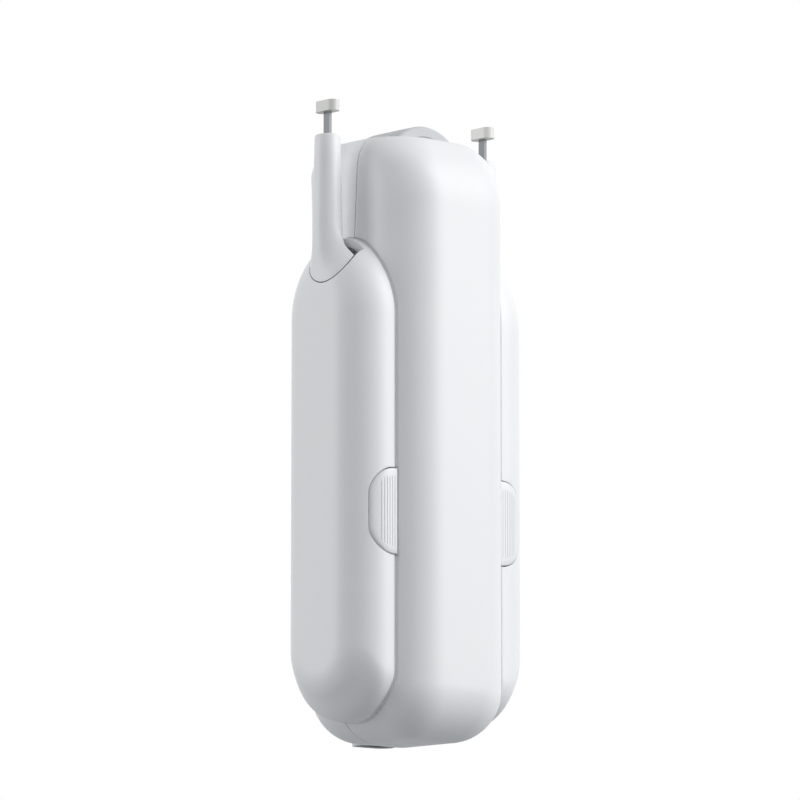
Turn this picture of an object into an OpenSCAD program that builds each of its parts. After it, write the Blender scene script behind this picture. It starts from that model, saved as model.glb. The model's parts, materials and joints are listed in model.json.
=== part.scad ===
// Curtain robot that hangs from a slotted rail and drives along it on a rubber wheel.
// X runs along the rail, the front faces -Y, and Z = 0 is the underside of the rail.
// Heights inside the modules are measured up from the bottom of the main body.

/* [Main body] */
// Width of the main body, along the rail
body_w = 46; // [44:0.5:54]
// Depth of the main body, front to back
body_d = 51; // [49:0.5:60]
// Height of the main body
body_h = 177; // [172:1:200]
// Gap between the top of the body and the rail
rail_gap = 5.4; // [4:0.1:6]
// Radius of the body's upright corners and bottom edges
corner_r = 15.4; // [13:0.2:17]
// Thickness of the moulded walls
wall = 1.8; // [1.4:0.1:2.2]
// Radius of the rounding at the top of the sides and the back
top_edge_r = 12.1; // [11:0.1:15]
// Height that this rounding takes
top_edge_drop = 9; // [7:0.5:10]
// Radius of the longer rounding at the top of the front
brow_r = 25.8; // [24:0.2:32]
// Height that the front's rounding takes
brow_drop = 20; // [14:0.5:21]
// Radius of the crown that rounds the body's top corners, at the top
crown_top_r = 22; // [21.6:0.1:23]
// Radius of the crown where it leaves the corners
crown_r = 31; // [30.6:0.2:34]
// Height that the crown takes
crown_drop = 27; // [20:0.5:32]
// Place of the seam between the two covers at the top
seam_y_top = -4.4; // [-6:0.2:-3]
// Place of that seam at the bottom
seam_y_bottom = 5.4; // [5:0.2:8]
// Gap along every seam
seam_gap = 0.3; // [0.2:0.05:0.4]

/* [Side pods] */
// Distance from the middle to a pod's outer face
pod_x = 35.3; // [34.5:0.1:40]
// Half of a pod's depth, front to back
pod_half_d = 18.4; // [17.6:0.1:20]
// Radius of the rounding round a pod's outer face
pod_edge_r = 11.8; // [9:0.1:12]
// Height of a pod's lower end
pod_lo = 6; // [5:0.5:12]
// Height of a pod's upper end
pod_hi = 147; // [142:0.5:150]
// How much taller than round the pods' top end is
pod_stretch = 1.3; // [1:0.05:1.4]
// How much shorter than round the pods' lower end is
pod_squash = 0.85; // [0.75:0.05:1]
// Thickness of a pod's base plate
base_t = 2; // [1.6:0.1:2.2]
// Half of the base plate's depth
base_half_d = 11.4; // [10:0.1:11.6]
// Room between each pod screw and the pod's end
pod_screw_inset = 25; // [23:0.5:28]
// Distance of the upper pod screws from the middle, front and back
pod_screw_y = 7; // [6.6:0.1:7.2]
// Length of the screw bosses inside the covers
boss_len = 6; // [4:0.5:6]

/* [Hooks] */
// Distance from the middle to a hook arm
arm_x = 31.2; // [30.6:0.1:31.6]
// Radius of a hook arm at its top
arm_top_r = 3.8; // [3:0.1:4.2]
// Radius of a hook arm at its foot
arm_foot_r = 4.7; // [4.2:0.1:4.8]
// Distance from the middle to the inner face of the arm's foot
foot_in = 26.4; // [26.2:0.1:26.5]
// Distance of the toe's inner face from the middle
toe_in = 28.6; // [27.4:0.1:29.4]
// How far the foot's middle lies in front of the arm
foot_y = 2.6; // [0:0.1:3]
// Radius of the foot's round lower edge on the pod's shoulder
foot_r = 7.5; // [7.2:0.1:8]
// Height of the foot, down from the pod's upper end
foot_drop = 14.4; // [13:0.1:15]
// Height of the neck, from the foot's lower edge to the plain arm
neck_len = 18; // [14:0.5:22]
// Half of the arm's tongue, front to back
tongue_half_d = 4.5; // [3.6:0.1:4.8]
// Length of the arm's tongue below its foot
tongue_len = 63; // [50:1:70]
// Travel of a hook arm
arm_travel = 12; // [6:1:14]
// Radius of the hook's stem
stem_r = 1.6; // [1.4:0.05:1.8]
// Thickness of the hook's blade, along the rail
blade_t = 1; // [0.8:0.1:1.4]
// Width of the hook's blade
blade_w = 2.5; // [2:0.1:3]
// Height of the glide shoe's underside over the rail's underside
shoe_lift = 1.5; // [1.2:0.1:2]
// Height of the glide shoe
shoe_h = 3.2; // [2.8:0.1:4]
// Length of the glide shoe, across the rail
shoe_len = 8.4; // [7.6:0.1:9.4]
// Width of the glide shoe, less than the rail's slot
shoe_w = 4; // [3.4:0.1:4.2]

/* [Release buttons] */
// Height of a release button's middle
button_h = 65; // [62:0.5:90]
// Length of a release button, up and down
button_len = 25; // [20:0.5:28]
// Distance from the middle to a button's straight edge
button_in = 20.5; // [20.3:0.1:21]
// Distance from the middle to a button's round edge
button_out = 29.6; // [29.2:0.1:30.4]
// Radius of a button's round corners
button_r = 8; // [6:0.2:8.2]
// How far a button stands out of the pod
button_proud = 0.4; // [0.2:0.1:0.8]
// Travel of a button
button_travel = 2; // [1:0.1:2.2]
// Number of grip ribs on a button
rib_count = 6; // [4:1:7]
// Spacing of the grip ribs
rib_pitch = 0.95; // [0.8:0.05:1]
// Height of the grip ribs
rib_h = 0.45; // [0.3:0.05:0.6]
// Clearance round moving pieces
run_gap = 0.3; // [0.25:0.05:0.4]

/* [Drive] */
// Radius of the drive wheel
wheel_r = 16.5; // [15.6:0.1:17]
// Width of the drive wheel
wheel_w = 18; // [15:0.5:18.5]
// Thickness of the rubber tyre
tyre_t = 3.1; // [2:0.1:4]
// Radius of the wheel's axle
axle_r = 2; // [1.6:0.1:2.4]
// Radius of the axle's bearings
bearing_r = 4; // [3.4:0.1:4.4]
// Thickness of the chassis plates
plate_t = 2.5; // [2:0.1:2.8]
// Module of the gears
gear_m = 0.8; // [0.76:0.01:0.82]
// Teeth of the wheel's gear
wheel_teeth = 18; // [17:1:18]
// Teeth of the small half of the compound gear
small_teeth = 12; // [12:1:13]
// Teeth of the large half of the compound gear
big_teeth = 32; // [30:1:33]
// Teeth of the motor's pinion
pinion_teeth = 12; // [12:1:13]
// Width of the gears
gear_w = 3.2; // [2.4:0.1:3.4]
// Radius of the motor
motor_r = 10; // [8:0.2:10.6]
// Length of the gearhead
gearhead_len = 11; // [8:0.5:14]

/* [Electronics] */
// Radius of the battery cell
cell_r = 9.2; // [8:0.1:9.4]
// Length of the battery cell
cell_len = 65.2; // [50:0.2:70]
// Width of the main board
board_w = 26; // [24:0.5:28]
// Thickness of the main board
board_t = 1.6; // [1:0.1:1.8]
// Place of the charging port, behind the middle
port_y = 14.2; // [14:0.1:14.6]
// Length of the recess round the port
port_len = 13; // [12:0.2:14]
// Width of the recess round the port
port_w = 6.4; // [5.6:0.1:6.6]
// Width of the flat rim round that recess
port_rim = 0.6; // [0.4:0.1:1.2]
// Height of the pairing button
pair_h = 42; // [36:1:46]
// Radius of the pairing button
pair_r = 4; // [3:0.1:4.6]
// Travel of the pairing button
pair_travel = 0.6; // [0.4:0.05:0.7]

/* [Hidden] */
$fn = 64;

WHITE = "#f1f2f3";
SHADE = "#d9dbdd";
STEEL = "#b9bcc0";
BRASS = "#c9a558";
GREY = "#8d9094";
DARK = "#3a3c3f";
GREEN = "#1f6b45";
BLUE = "#3d6fae";

big = 400;
half_w = body_w / 2;
half_d = body_d / 2;
col_x = half_w - corner_r;
col_y = half_d - corner_r;
floor_z = -(body_h + rail_gap);
rail_h = body_h + rail_gap;
in_x = half_w - wall;
in_y = half_d - wall;

// Top plate and wheel
plate_fit = 0.2;
lid_t = 2;
lid_sink = 0.4;
lid_hi = body_h - lid_sink;
lid_lo = lid_hi - lid_t;
axle_h = rail_h - wheel_r;
wheel_gap = 1;
cheek_y = wheel_w / 2 + wheel_gap;
cheek_out = cheek_y + plate_t;
running = 0.04;

// Gear train, in two layers behind the rear chassis plate
gear_gap = 0.5;
layer_1 = cheek_out + gear_gap;
layer_2 = layer_1 + gear_w + gear_gap;
layer_end = layer_2 + gear_w;
pressure = 20;
addendum = 0.8;
dedendum = 1.1;
backlash = 0.14;
compound_h = axle_h - gear_m * (wheel_teeth + small_teeth) / 2;
motor_h = compound_h - gear_m * (big_teeth + pinion_teeth) / 2;
pin_r = 1.5;
motor_back_gap = 1.7;
motor_back = in_y - motor_back_gap;
motor_screw_edge = 3;
motor_screw_x = motor_r - motor_screw_edge;
motor_screw_sink = 4;
shaft_sink = 4;

// Chassis, battery and screws
chassis_half_w = 17;
chassis_lo = 16;
shelf_half_w = 14;
shelf_drop = 2;
shelf_hi = motor_h - motor_r - shelf_drop;
shelf_lo = shelf_hi - plate_t;
tab_t = 0.5;
cell_hi = shelf_lo - tab_t;
cell_lo = cell_hi - cell_len;
ledge_hi = cell_lo - tab_t;
tower_x = 14.5;
tower_r = 2.8;
tower_lo = 24;
tower_drop = 17.8;
tower_heights = [tower_lo, shelf_lo - tower_drop];
chassis_screw_len = 10;
screw_r = 1;
head_r = 1.9;
head_h = 1.2;

// Main board and charging port
socket_w = 8.94;
socket_t = 3.26;
socket_len = 7.4;
socket_lo = 3.4;
port_sink = 0.4;
board_y = port_y + socket_t / 2;
board_lo = 12;
board_drop = 20.3;
board_hi = motor_h - board_drop;
board_back = board_y + board_t;
board_screw_x = 10;
board_screw_lo = 14;
board_screw_drop = 8;
board_screw_heights = [board_lo + board_screw_lo, board_hi - board_screw_drop];
standoff_r = 2.4;
tab_half_w = 6;
board_tab_len = 7;
board_tab_lap = 1;
standoff_root = 1;
shaft_room = 1;
switch_t = 2.4;
pipe_r = 1.5;
pipe_rise = 10;

// Pod base, arm and springs
base_out = half_w + base_t;
guide_in = tongue_half_d + run_gap;
guide_t = 2.5;
guide_out = guide_in + guide_t;
pod_in_x = pod_x - wall;
foot_lo = pod_hi - foot_drop;
tongue_lo = foot_lo - tongue_len;
link_half_d = 3.4;
link_inset = 1.2;
link_x = pod_in_x - link_inset;
tongue_hi = pod_hi - pod_half_d * pod_stretch - arm_travel;
guide_lo = button_h - button_len / 2 - 4;
clip_r = 2;
clip_t = 1;
pocket_drop = 2;
pocket_hi = foot_lo - pocket_drop;
pocket_len = 6;
pocket_lo = pocket_hi - pocket_len;
stem_sink = 1.5;
stem_lo = pocket_lo + stem_sink;
stem_hi = body_h - stem_sink;
arm_spring_r = 2.6;
arm_spring_wire = 0.7;
arm_spring_turns = 14;
arm_spring_x = (foot_in + pod_in_x - run_gap) / 2;
arm_spring_rise = 32;
arm_spring_lo = pod_lo + arm_spring_rise;
peg_r = 1.5;
peg_len = 2;
button_sink = 4.4;
button_back = pod_half_d - button_sink;
button_stem_x = button_out - 2.2;
button_stem_r = 1.3;
button_spring_r = 2;
button_spring_wire = 0.5;
button_spring_turns = 3.5;
screw_low_h = pod_lo + pod_screw_inset;
screw_high_h = pod_hi - pod_screw_inset;
guide_hi = min(foot_lo - arm_travel, screw_high_h - head_r - run_gap);

// Least gap between neighbouring turns of the springs
echo(arm_spring_gap = (tongue_lo - arm_spring_lo) / (arm_spring_turns + 1) - arm_spring_wire);
echo(button_spring_gap = (button_back - guide_out) / (button_spring_turns + 1) - button_spring_wire);

// Lowers what is drawn from the body's bottom to its place under the rail
module hang() {
    translate([0, 0, floor_z]) children();
}

// Puts the right-hand piece on the left or right, and the rear piece at the front or rear
module side(right = true, rear = true) {
    mirror([right ? 0 : 1, 0, 0]) mirror([0, rear ? 0 : 1, 0]) children();
}

// A prism along X of an outline in Y and height
module along_x(length) {
    rotate([90, 0, 90]) translate([0, 0, -length / 2]) linear_extrude(length) children();
}

// A prism along Y of an outline in X and height, from y0 to y1
module along_y(y0, y1) {
    translate([0, y1, 0]) rotate([90, 0, 0]) linear_extrude(y1 - y0) children();
}

// A round bar along Y from y0 to y1
module bar_y(r, y0, y1) {
    translate([0, y0, 0]) rotate([-90, 0, 0]) cylinder(r = r, h = y1 - y0);
}

// A round bar along X from x0 to x1
module bar_x(r, x0, x1) {
    translate([x0, 0, 0]) rotate([0, 90, 0]) cylinder(r = r, h = x1 - x0);
}

// A block between two corners
module block(low, high) {
    translate(low) cube(high - low);
}

// A flat outline with round ends
module slot_outline(length, width) {
    square([length - width, width], center = true);
    for (x = [-1, 1]) translate([x * (length - width) / 2, 0]) circle(d = width);
}

// The body's plan, with round corners
module body_plan(inset) {
    square([2 * col_x, body_d - 2 * inset], center = true);
    square([body_w - 2 * inset, 2 * col_y], center = true);
    for (x = [-1, 1], y = [-1, 1]) translate([x * col_x, y * col_y]) circle(corner_r - inset);
}

// The body's front outline, rounded where the sides meet the top
module front_outline(inset, top) {
    arc_x = half_w - top_edge_r;
    arc_h = body_h - top_edge_drop;
    intersection() {
        union() {
            translate([-half_w - 1, -1]) square([body_w + 2, arc_h + 1]);
            translate([-arc_x, -1]) square([2 * arc_x, top + 1]);
            for (x = [-1, 1]) translate([x * arc_x, arc_h]) circle(top_edge_r - inset);
        }
        translate([-half_w - 1, -1]) square([body_w + 2, top + 1]);
    }
}

// The body's side outline, with the long brow at the front
module side_outline(inset, top) {
    brow_y = brow_r - half_d;
    brow_h = body_h - brow_drop;
    rear_y = half_d - top_edge_r;
    rear_h = body_h - top_edge_drop;
    intersection() {
        union() {
            translate([-half_d - 1, -1]) square([body_d + 2, brow_h + 1]);
            translate([brow_y, -1]) square([half_d + 1 - brow_y, rear_h + 1]);
            translate([brow_y, -1]) square([rear_y - brow_y, top + 1]);
            translate([brow_y, brow_h]) circle(brow_r - inset);
            translate([rear_y, rear_h]) circle(top_edge_r - inset);
        }
        translate([-half_d - 1, -1]) square([body_d + 2, top + 1]);
    }
}

// The round crown that takes the corners off the body's top
module crown(inset, top) {
    draw_in = crown_r - crown_top_r;
    arc_r = (crown_drop * crown_drop + draw_in * draw_in) / (2 * draw_in);
    arc_h = body_h - crown_drop;
    front_in = brow_r - sqrt(brow_r * brow_r - brow_drop * brow_drop);
    rear_in = top_edge_r - sqrt(top_edge_r * top_edge_r - top_edge_drop * top_edge_drop);
    translate([0, (front_in - rear_in) / 2, 0]) rotate_extrude() intersection() {
        union() {
            translate([0, -1]) square([big, arc_h + 1]);
            translate([crown_r - arc_r, arc_h]) circle(arc_r - inset);
        }
        translate([0, -1]) square([big, top + 1]);
    }
}

// The main body as one solid, drawn in by an inset and cut level at a height
module body_solid(inset = 0, top = body_h) {
    r = corner_r - inset;
    intersection() {
        union() {
            translate([0, 0, corner_r]) linear_extrude(top - corner_r) body_plan(inset);
            translate([0, 0, corner_r]) {
                for (x = [-1, 1], y = [-1, 1]) translate([x * col_x, y * col_y, 0]) sphere(r);
                for (y = [-1, 1]) translate([0, y * col_y, 0]) bar_x(r, -col_x, col_x);
                for (x = [-1, 1]) translate([x * col_x, 0, 0]) bar_y(r, -col_y, col_y);
            }
            translate([-col_x, -col_y, inset]) cube([2 * col_x, 2 * col_y, corner_r]);
        }
        along_y(-half_d - 1, half_d + 1) front_outline(inset, top);
        along_x(body_w + 2) side_outline(inset, top);
        crown(inset, top);
    }
}

// The hollow inside the covers, open at the top
module body_hollow() {
    body_solid(wall, body_h + 1);
}

// The space in front of the seam between the covers, or behind it
module seam_space(front) {
    reach = front ? -big : big;
    shift = front ? -seam_gap / 2 : seam_gap / 2;
    slope = (seam_y_top - seam_y_bottom) / body_h;
    y_low = seam_y_bottom - slope * big / 4 + shift;
    y_high = seam_y_bottom + slope * big + shift;
    along_x(big) polygon([[y_low, -big / 4], [reach, -big / 4], [reach, big], [y_high, big]]);
}

// A pod's half section: distance from the pod's axis against distance from the middle
module pod_section(grow) {
    flat = pod_half_d - pod_edge_r;
    root_x = col_x;
    square_x = pod_x - pod_edge_r;
    intersection() {
        union() {
            translate([0, root_x]) square([pod_half_d + grow, square_x - root_x]);
            translate([0, root_x]) square([flat, pod_x + grow - root_x]);
            translate([flat, square_x]) circle(pod_edge_r + grow);
        }
        translate([0, root_x]) square([big, big]);
    }
}

// The right pod as one solid: a capsule standing on the body's side
module pod_solid(grow = 0) {
    low = pod_lo + pod_half_d * pod_squash;
    high = pod_hi - pod_half_d * pod_stretch;
    translate([0, 0, low]) scale([1, 1, pod_squash]) rotate([0, 90, 0]) rotate_extrude() pod_section(grow);
    translate([0, 0, high]) scale([1, 1, pod_stretch]) rotate([0, 90, 0]) rotate_extrude() pod_section(grow);
    translate([0, 0, low]) linear_extrude(high - low) {
        rotate(-90) mirror([1, 0]) pod_section(grow);
        rotate(-90) pod_section(grow);
    }
}

// A button's outline, in distance from the middle and height
module button_outline(grow = 0) {
    half = button_len / 2;
    x_mid = button_out - button_r;
    z_mid = half - button_r;
    translate([0, button_h]) intersection() {
        union() {
            translate([0, -half - grow]) square([x_mid, button_len + 2 * grow]);
            translate([0, -z_mid]) square([button_out + grow, 2 * z_mid]);
            for (z = [-1, 1]) translate([x_mid, z * z_mid]) circle(button_r + grow);
        }
        translate([button_in - grow, -big]) square(2 * big);
    }
}

// A gear's outline, with involute flanks and a tooth on the +X axis
function involute(roll) = roll - atan(roll * PI / 180);
function roll_at(r, base) = sqrt(max(0, (r / base) * (r / base) - 1)) * 180 / PI;
function polar(r, a) = [r * cos(a), r * sin(a)];
module gear_outline(teeth, steps = 3) {
    pitch = gear_m * teeth / 2;
    base = pitch * cos(pressure);
    root = pitch - dedendum * gear_m;
    tip = pitch + addendum * gear_m;
    start = max(root, base);
    half = 90 / teeth - backlash / 2 / pitch * 180 / PI + involute(roll_at(pitch, base));
    radii = [for (i = [0:steps]) start + (tip - start) * i / steps];
    flank = [for (r = radii) [r, half - involute(roll_at(r, base))]];
    foot = [root, flank[0][1]];
    tooth = root < base - 0.01 ? concat([foot], flank) : flank;
    count = len(tooth);
    polygon([for (t = [0:teeth - 1], i = [0:2 * count - 1])
        let (p = i < count ? tooth[i] : tooth[2 * count - 1 - i], s = i < count ? -1 : 1)
        polar(p[0], t * 360 / teeth + s * p[1])]);
}

// A gear on an axis along Y, turned so that a tooth or a gap points straight down or up
module gear_y(teeth, y0, y1, turn) {
    along_y(y0, y1) rotate(turn) gear_outline(teeth);
}

// A coil spring standing on Z = 0, one unbroken tube with straight ends
function coil_point(r, wire, turns, height, i, steps) =
    let (u = i / steps, a = 360 * turns * u, lead = height - wire)
    [r * cos(a), r * sin(a), wire / 2 + lead * u];
module coil(r, wire, turns, height) {
    sides = 6;
    per_turn = 8;
    steps = round(per_turn * turns);
    rise = atan((height - wire) / (2 * PI * r * turns));
    points = [for (i = [0:steps], k = [0:sides - 1])
        let (c = coil_point(r, wire, turns, height, i, steps), a = 360 * turns * i / steps,
             b = 360 * k / sides, n = wire / 2 * cos(b), m = wire / 2 * sin(b))
        c + [n * cos(a) + m * sin(rise) * sin(a), n * sin(a) - m * sin(rise) * cos(a), m * cos(rise)]];
    walls = [for (i = [0:steps - 1], k = [0:sides - 1])
        let (a = i * sides + k, b = i * sides + (k + 1) % sides) [a, a + sides, b]];
    walls_2 = [for (i = [0:steps - 1], k = [0:sides - 1])
        let (a = i * sides + k, b = i * sides + (k + 1) % sides) [b, a + sides, b + sides]];
    first = [for (k = [1:sides - 2]) [0, k, k + 1]];
    end = steps * sides;
    last = [for (k = [1:sides - 2]) [end, end + k + 1, end + k]];
    polyhedron(points, concat(walls, walls_2, first, last));
}

// A pan-head screw along Y: the head sits on y = 0 and the shank runs towards -Y
module screw_y(length) {
    bar_y(head_r, 0, head_h);
    bar_y(screw_r, -length, 0);
}

module front_cover() {
    color(WHITE) hang() difference() {
        union() {
            intersection() {
                difference() {
                    body_solid();
                    body_hollow();
                }
                seam_space(true);
            }
            intersection() {
                body_solid();
                for (x = [-1, 1], h = tower_heights) translate([x * tower_x, 0, h])
                    bar_y(tower_r, -half_d, cheek_y);
            }
            for (right = [true, false]) side(right) {
                translate([0, -pod_screw_y, screw_high_h])
                    bar_x(tower_r - 0.2, in_x - boss_len, in_x + wall / 2);
                translate([0, 0, screw_low_h]) bar_x(tower_r - 0.2, in_x - boss_len, in_x + wall / 2);
            }
        }
        for (x = [-1, 1], h = tower_heights) translate([x * tower_x, 0, h]) bar_y(screw_r, 0, cheek_y + 1);
        pod_screw_holes();
        button_pockets();
    }
}

module rear_cover() {
    color(WHITE) hang() difference() {
        union() {
            intersection() {
                difference() {
                    union() {
                        body_solid();
                        translate([0, port_y, 0]) linear_extrude(corner_r / 2)
                            slot_outline(port_len + 2 * port_rim, port_w + 2 * port_rim);
                    }
                    body_hollow();
                }
                seam_space(false);
            }
            for (right = [true, false]) side(right)
                translate([0, pod_screw_y, screw_high_h])
                    bar_x(tower_r - 0.2, in_x - boss_len, in_x + wall / 2);
        }
        pod_screw_holes();
        button_pockets();
        translate([0, port_y, -1]) linear_extrude(corner_r) slot_outline(port_len, port_w);
        translate([0, 0, pair_h]) bar_y(pair_r + run_gap, in_y - 1, half_d + 1);
        translate([0, 0, pair_h + pipe_rise]) bar_y(pipe_r, in_y - 1, half_d + 1);
    }
}

// Holes for the pod screws, through both sides
module pod_screw_holes() {
    for (right = [true, false]) side(right) pod_screw_places()
        bar_x(screw_r, in_x - boss_len + 1, half_w + 1);
}

// The three screws of the right pod, at x = 0
module pod_screw_places() {
    for (y = [-1, 1]) translate([0, y * pod_screw_y, screw_high_h]) children();
    translate([0, 0, screw_low_h]) children();
}

// Flats in the covers' sides that let the release buttons move in
module button_pockets() {
    reach = button_len / 2 + 2 * run_gap;
    depth = button_back - button_travel - run_gap;
    for (right = [true, false], rear = [true, false]) side(right, rear)
        block([button_in - run_gap, depth, button_h - reach], [pod_x, half_d, button_h + reach]);
}

module top_plate() {
    reach = sqrt(wheel_r * wheel_r - (lid_lo - axle_h) * (lid_lo - axle_h)) + wheel_gap / 2;
    slot_half_w = wheel_w / 2 + wheel_gap / 2;
    color(WHITE) hang() difference() {
        intersection() {
            body_solid(wall + plate_fit, lid_hi);
            block([-big, -big, lid_lo], [big, big, lid_hi + 1]);
        }
        block([-reach, -slot_half_w, lid_lo - 1], [reach, slot_half_w, lid_hi + 1]);
    }
}

module pod_cover(right) {
    color(WHITE) hang() side(right) difference() {
        pod_solid();
        pod_solid(-wall);
        body_solid(-seam_gap);
        for (rear = [true, false]) side(true, rear)
            along_y(button_back - 1, half_d + 1) button_outline(run_gap);
        foot_space(run_gap);
    }
}
module left_pod_cover() pod_cover(false);
module right_pod_cover() pod_cover(true);

module pod_base(right) {
    shelf_d = tongue_half_d - 0.5;
    plate_lo = pod_lo + pod_half_d;
    color(SHADE) hang() side(right) difference() {
        union() {
            block([half_w, -base_half_d, plate_lo - peg_r], [base_out, base_half_d, pocket_lo]);
            for (rear = [true, false]) side(true, rear)
                block([half_w, guide_in, guide_lo], [pod_in_x - run_gap, guide_out, guide_hi]);
            block([half_w, -shelf_d, arm_spring_lo - 3],
                [arm_spring_x + arm_spring_r, shelf_d, arm_spring_lo]);
            translate([arm_spring_x, 0, arm_spring_lo - 1]) cylinder(r = peg_r, h = peg_len + 1);
        }
        translate([button_stem_x, 0, button_h]) bar_y(button_stem_r + running, -half_d, half_d);
        pod_screw_places() bar_x(screw_r, half_w - 1, base_out + 1);
    }
}
module left_pod_base() pod_base(false);
module right_pod_base() pod_base(true);

// The space of an arm's foot: a round lower edge, open upwards and outwards
module foot_space(grow = 0) {
    translate([0, -foot_y, foot_lo + foot_r]) {
        bar_x(foot_r + grow, foot_in - grow, pod_x + 1);
        block([foot_in - grow, -foot_r - grow, 0], [pod_x + 1, foot_r + grow, big]);
    }
}

module hook_arm(right) {
    neck_h = foot_lo + neck_len;
    neck_lo = foot_lo + foot_r / 2;
    color(WHITE) hang() side(right) difference() {
        union() {
            difference() {
                intersection() {
                    pod_solid();
                    foot_space();
                    block([toe_in, -big, foot_lo], [big, big, big]);
                }
                body_solid(-seam_gap);
            }
            intersection() {
                translate([arm_x, 0, neck_lo])
                    cylinder(r1 = arm_foot_r, r2 = arm_top_r, h = body_h - neck_lo);
                foot_space();
            }
            intersection() {
                translate([arm_x, -foot_y / 2, neck_lo])
                    cylinder(r1 = foot_r, r2 = arm_foot_r - foot_y / 2, h = neck_h - neck_lo);
                foot_space();
                block([toe_in, -big, foot_lo], [pod_x, big, big]);
            }
            block([base_out + run_gap, -tongue_half_d, tongue_lo],
                  [pod_in_x - run_gap, tongue_half_d, tongue_hi]);
            block([base_out + run_gap, -link_half_d, tongue_lo], [link_x, link_half_d, pocket_lo]);
            block([foot_in, -link_half_d, tongue_lo], [link_x, link_half_d, foot_lo + foot_r / 2]);
            translate([arm_spring_x, 0, tongue_lo - peg_len]) cylinder(r = peg_r, h = peg_len + 1);
        }
        translate([arm_x, 0, pocket_hi - 1]) cylinder(r = stem_r + running, h = big);
        block([arm_x - clip_r - run_gap, -foot_r, pocket_lo], [pod_x, foot_r, pocket_hi]);
    }
}
module left_hook_arm() hook_arm(false);
module right_hook_arm() hook_arm(true);

// The blade and its T-head, at x = 0
module hook_blade() {
    head_half = shoe_len / 2 - 0.6;
    head_lo = rail_h + shoe_lift + 0.6;
    head_hi = rail_h + shoe_lift + shoe_h - 0.6;
    block([-blade_t / 2, -blade_w / 2, stem_hi - 1], [blade_t / 2, blade_w / 2, head_hi]);
    block([-blade_t / 2, -head_half, head_lo], [blade_t / 2, head_half, head_hi]);
}

module hook(right) {
    color(STEEL) hang() side(right) translate([arm_x, 0, 0]) {
        translate([0, 0, stem_lo]) cylinder(r = stem_r, h = stem_hi - stem_lo);
        hook_blade();
    }
}
module left_hook() hook(false);
module right_hook() hook(true);

module hook_shoe(right) {
    color(WHITE) hang() side(right) translate([arm_x, 0, 0]) difference() {
        translate([0, 0, rail_h + shoe_lift]) rotate(90) linear_extrude(shoe_h)
            slot_outline(shoe_len, shoe_w);
        hook_blade();
    }
}
module left_hook_shoe() hook_shoe(false);
module right_hook_shoe() hook_shoe(true);

module hook_clip(right) {
    color(STEEL) hang() side(right) translate([arm_x, 0, pocket_hi - run_gap - clip_t]) difference() {
        cylinder(r = clip_r, h = clip_t);
        translate([0, 0, -1]) cylinder(r = stem_r, h = clip_t + 2);
    }
}
module left_hook_clip() hook_clip(false);
module right_hook_clip() hook_clip(true);

module arm_spring(right) {
    length = tongue_lo - arm_spring_lo;
    color(STEEL) hang() side(right) translate([arm_spring_x, 0, arm_spring_lo])
        coil(arm_spring_r, arm_spring_wire, arm_spring_turns, length);
}
module left_arm_spring() arm_spring(false);
module right_arm_spring() arm_spring(true);

module release_button(right, rear) {
    rib_w = rib_pitch / 2;
    color(WHITE) hang() side(right, rear) difference() {
        union() {
            intersection() {
                along_y(button_back, big) button_outline();
                pod_solid(button_proud);
            }
            intersection() {
                along_y(button_back, big) intersection() {
                    button_outline(-1);
                    for (i = [0:rib_count - 1])
                        translate([button_in + 1 + i * rib_pitch, 0]) square([rib_w, big]);
                }
                pod_solid(button_proud + rib_h);
            }
            translate([button_stem_x, 0, button_h])
                bar_y(button_stem_r, guide_out - guide_t / 2, button_back + 1);
        }
    }
}
module left_front_button() release_button(false, false);
module left_rear_button() release_button(false, true);
module right_front_button() release_button(true, false);
module right_rear_button() release_button(true, true);

module button_spring(right, rear) {
    color(STEEL) hang() side(right, rear) translate([button_stem_x, guide_out, button_h]) rotate([-90, 0, 0])
        coil(button_spring_r, button_spring_wire, button_spring_turns, button_back - guide_out);
}
module left_front_spring() button_spring(false, false);
module left_rear_spring() button_spring(false, true);
module right_front_spring() button_spring(true, false);
module right_rear_spring() button_spring(true, true);

module chassis() {
    color(GREY) hang() difference() {
        intersection() {
            union() {
                block([-chassis_half_w, cheek_y, chassis_lo], [chassis_half_w, cheek_out, lid_lo]);
                block([-chassis_half_w, -cheek_out, shelf_lo], [chassis_half_w, -cheek_y, lid_lo]);
                block([-shelf_half_w, -cheek_out, shelf_lo], [shelf_half_w, cheek_out, shelf_hi]);
                block([-cell_r, -cell_r, ledge_hi - plate_t], [cell_r, cheek_y, ledge_hi]);
                for (x = [-1, 1], h = board_screw_heights)
                    translate([x * board_screw_x, 0, h])
                        bar_y(standoff_r, cheek_out - standoff_root, board_y);
            }
            body_solid(wall + plate_fit, lid_hi);
        }
        translate([0, 0, axle_h]) bar_y(bearing_r, -half_d, half_d);
        translate([0, 0, compound_h]) bar_y(pin_r, 0, half_d);
        translate([0, 0, motor_h]) bar_y(motor_r, -half_d, 0);
        translate([0, 0, motor_h]) bar_y(pin_r + shaft_room, 0, half_d);
        motor_screw_places() bar_y(screw_r, 0, half_d);
        for (x = [-1, 1], h = tower_heights) translate([x * tower_x, 0, h]) bar_y(screw_r, 0, half_d);
        for (x = [-1, 1], h = board_screw_heights)
            translate([x * board_screw_x, 0, h]) bar_y(screw_r, 0, half_d);
    }
}

// The two screws that hold the gearhead, at y = 0
module motor_screw_places() {
    for (x = [-1, 1]) translate([x * motor_screw_x, 0, motor_h]) children();
}

module wheel_hub() {
    color(SHADE) hang() translate([0, 0, axle_h]) difference() {
        bar_y(wheel_r - tyre_t, -wheel_w / 2, wheel_w / 2);
        bar_y(axle_r, -wheel_w, wheel_w);
        for (a = [0:60:300]) rotate([0, a, 0]) translate([(wheel_r - tyre_t + axle_r) / 2, 0, 0])
            bar_y((wheel_r - tyre_t - axle_r) / 4, -wheel_w, wheel_w);
    }
}

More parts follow.
